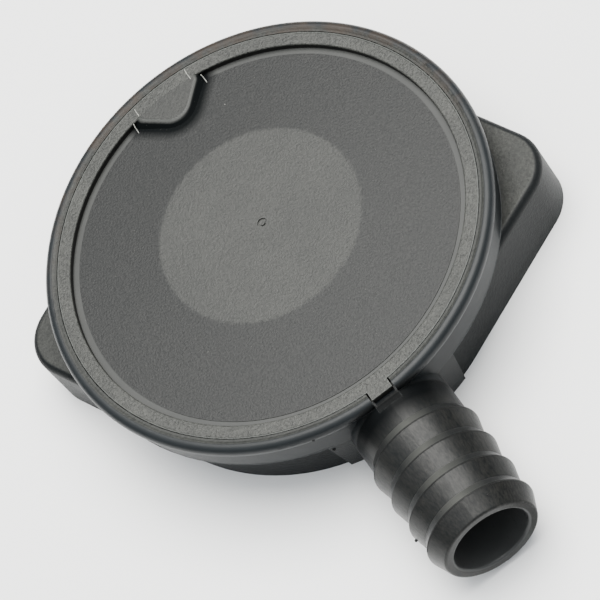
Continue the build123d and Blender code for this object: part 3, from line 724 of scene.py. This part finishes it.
def smooth_bend(start, end, count=10):
    """Points on an easy curve between two levels, as a rolling sheet takes."""
    made = []
    for i in range(count + 1):
        t = i / count
        ease = t * t * (3 - 2 * t)
        made.append((start[0] + (end[0] - start[0]) * t, start[1] + (end[1] - start[1]) * ease))
    return made


def lathe(name, outline, material, count=120):
    """A closed outline of radius and level turned round the valve's axis."""
    rings = [[turned(r, TURN * i / count, z) for r, z in outline] for i in range(count)]
    return make_piece(name, *loft(rings, closed=True), material)


def build_membrane(material):
    """The diaphragm in two halves that meet at the loop's lowest line."""
    thickness, hole = 0.7, 3.5
    inner_level, outer_level = 17.75, 18.35
    loop_radius, loop_level = 32.3, 15.45
    loop = (loop_radius, loop_level)
    inner = [(hole, inner_level), (28.0, inner_level), *smooth_bend((28.4, inner_level), loop)]
    outer = [*smooth_bend(loop, (36.1, outer_level)), (36.6, outer_level), (38.4, outer_level)]
    low = lathe("diaphragm_inner", sheet_outline(inner, thickness), material)
    high = lathe("diaphragm_outer", sheet_outline(outer, thickness), material)
    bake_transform(low)
    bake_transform(high)
    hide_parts("rolling_diaphragm")

    # The lip: a ring with bevelled corners, clamped between cover and housing
    lip_inner, lip_outer, lip_foot, lip_top = 38.55, 40.65, 17.4, 19.3
    bevel_wide, bevel_high = 0.25, 0.1
    lip = [
        (lip_inner, lip_foot + bevel_high), (lip_inner + bevel_wide, lip_foot),
        (lip_outer - bevel_wide, lip_foot), (lip_outer, lip_foot + bevel_high),
        (lip_outer, lip_top - bevel_high), (lip_outer - bevel_wide, lip_top),
        (lip_inner + bevel_wide, lip_top), (lip_inner, lip_top - bevel_high),
    ]
    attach(lathe("diaphragm_lip", lip, material), "valve_body")


def build_trim(cover_finish):
    """What the mould left on the outside: fringe, lines, fins and nibs; the pale line at the drum's
    foot also carries a painted highlight, and the dark threads on the nipple's ribs are painted
    shade.
    """
    flash = trim_finish(
        "nylon_flash", (0.3, 3, 0.7), (0.35, 0.65),
        (0.1, 0.102, 0.096), (0.34, 0.34, 0.31), 0.03, (0.4, 0.6), 1.4)
    # Dark nylon for the nibs, and painted shade for the threads on the nipple's ribs
    nib_and_shade_nylon = trim_finish(
        "nylon_nib_and_shade_thread", (0.5, 3, 0.6), (0.3, 0.7),
        (0.002, 0.002, 0.002), (0.007, 0.007, 0.007), 0.01, (0.45, 0.6), 1.3)
    # Paler than the drum: a painted highlight along the drum's foot
    line = trim_finish(
        "nylon_parting_line_highlight", (0.8, 3, 0.7), (0.3, 0.7),
        (0.02, 0.0225, 0.024), (0.06, 0.064, 0.066), 0.02, (0.3, 0.5), 1.45)
    pieces = [
        build_ring_flash(cover_finish),
        build_parting_line_highlight(line),
        *build_pad_flash(flash),
        *build_nipple_shade_threads(nib_and_shade_nylon),
        nib("cover_speck", (-2.6, 30.46, 21.63), 0.13, flash, 7.0),
        nib("nipple_nib", nipple_point(66.1, 11.05, -1.58), 0.36, nib_and_shade_nylon, 2.0),
        nib("nipple_pip", nipple_point(73.0, 10.5, 0.43), 0.25, nib_and_shade_nylon, 4.0),
        nib("bead_nib", turned(44.95, math.radians(-89.3), 21.1), 0.3, nib_and_shade_nylon, 9.0),
        nib("apron_nib", turned(43.5, math.radians(-87.8), 12.7), 0.35, nib_and_shade_nylon, 12.0),
    ]
    for piece in pieces:
        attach(piece, "valve_body")


# Studio

def build_camera():
    """The camera looks at a point a little right of and below the middle of the cover's ring."""
    out = Vector((
        math.sin(CAMERA_AZIMUTH) * math.cos(CAMERA_ELEVATION),
        -math.cos(CAMERA_AZIMUTH) * math.cos(CAMERA_ELEVATION),
        math.sin(CAMERA_ELEVATION),
    ))
    level_right = Vector((0, 0, 1)).cross(out).normalized()
    level_up = out.cross(level_right)
    right = level_right * math.cos(CAMERA_ROLL) + level_up * math.sin(CAMERA_ROLL)
    up = level_up * math.cos(CAMERA_ROLL) - level_right * math.sin(CAMERA_ROLL)
    aim = (Vector((0, 0, RING_LEVEL)) + right * AIM_RIGHT - up * AIM_DOWN) * MM
    data = bpy.data.cameras.new("camera")
    data.lens = CAMERA_LENS
    data.clip_start = 0.01
    camera = bpy.data.objects.new("camera", data)
    bpy.context.scene.collection.objects.link(camera)
    turn = Matrix((right, up, out)).transposed().to_4x4()
    camera.matrix_world = Matrix.Translation(aim + out * CAMERA_DISTANCE * MM) @ turn
    bpy.context.scene.camera = camera


def build_floor():
    """A plain pale floor under the valve."""
    mesh = bpy.data.meshes.new("floor")
    signs = [(-1, -1), (1, -1), (1, 1), (-1, 1)]
    corners = [(x * FLOOR_REACH, y * FLOOR_REACH, 0) for x, y in signs]
    mesh.from_pydata(corners, [], [(0, 1, 2, 3)])
    floor = bpy.data.objects.new("floor", mesh)
    floor.location.z = HOUSING_LOW.z - FLOOR_GAP * MM
    bpy.context.scene.collection.objects.link(floor)
    material = bpy.data.materials.new("floor_white")
    material.use_nodes = True
    shader = material.node_tree.nodes["Principled BSDF"]
    shader.inputs["Base Color"].default_value = (FLOOR_WHITE, FLOOR_WHITE, FLOOR_WHITE, 1)
    shader.inputs["Roughness"].default_value = 1.0
    shader.inputs["Specular IOR Level"].default_value = 0.0
    mesh.materials.append(material)


def build_lights():
    """A bright studio: a sky, pale overhead and dim at the horizon, and one large soft light."""
    world = bpy.data.worlds.new("studio")
    world.use_nodes = True
    tree = world.node_tree
    place = tree.nodes.new("ShaderNodeTexCoord").outputs["Generated"]
    parts = tree.nodes.new("ShaderNodeSeparateXYZ")
    tree.links.new(place, parts.inputs[0])
    height = tree.nodes.new("ShaderNodeMapRange")
    tree.links.new(parts.outputs["Z"], height.inputs["Value"])
    for name, number in SKY_RANGE.items():
        height.inputs[name].default_value = number
    background = tree.nodes["Background"]
    background.inputs["Color"].default_value = SKY_COLOUR
    tree.links.new(height.outputs["Result"], background.inputs["Strength"])
    bpy.context.scene.world = world

    data = bpy.data.lights.new("overhead", "AREA")
    data.shape = "SQUARE"
    data.size = LIGHT_SIZE
    data.energy = LIGHT_POWER
    data.color = LIGHT_COLOUR
    light = bpy.data.objects.new("overhead", data)
    light.location = LIGHT_PLACE
    light.rotation_euler = (-Vector(LIGHT_PLACE)).to_track_quat("-Z", "Y").to_euler()
    bpy.context.scene.collection.objects.link(light)


# The valve

finishes = dress_nodes()
build_trim(finishes["cover"])
build_spring(finishes["pressure_spring"])
build_membrane(finishes["rolling_diaphragm"])

build_camera()
build_floor()
build_lights()
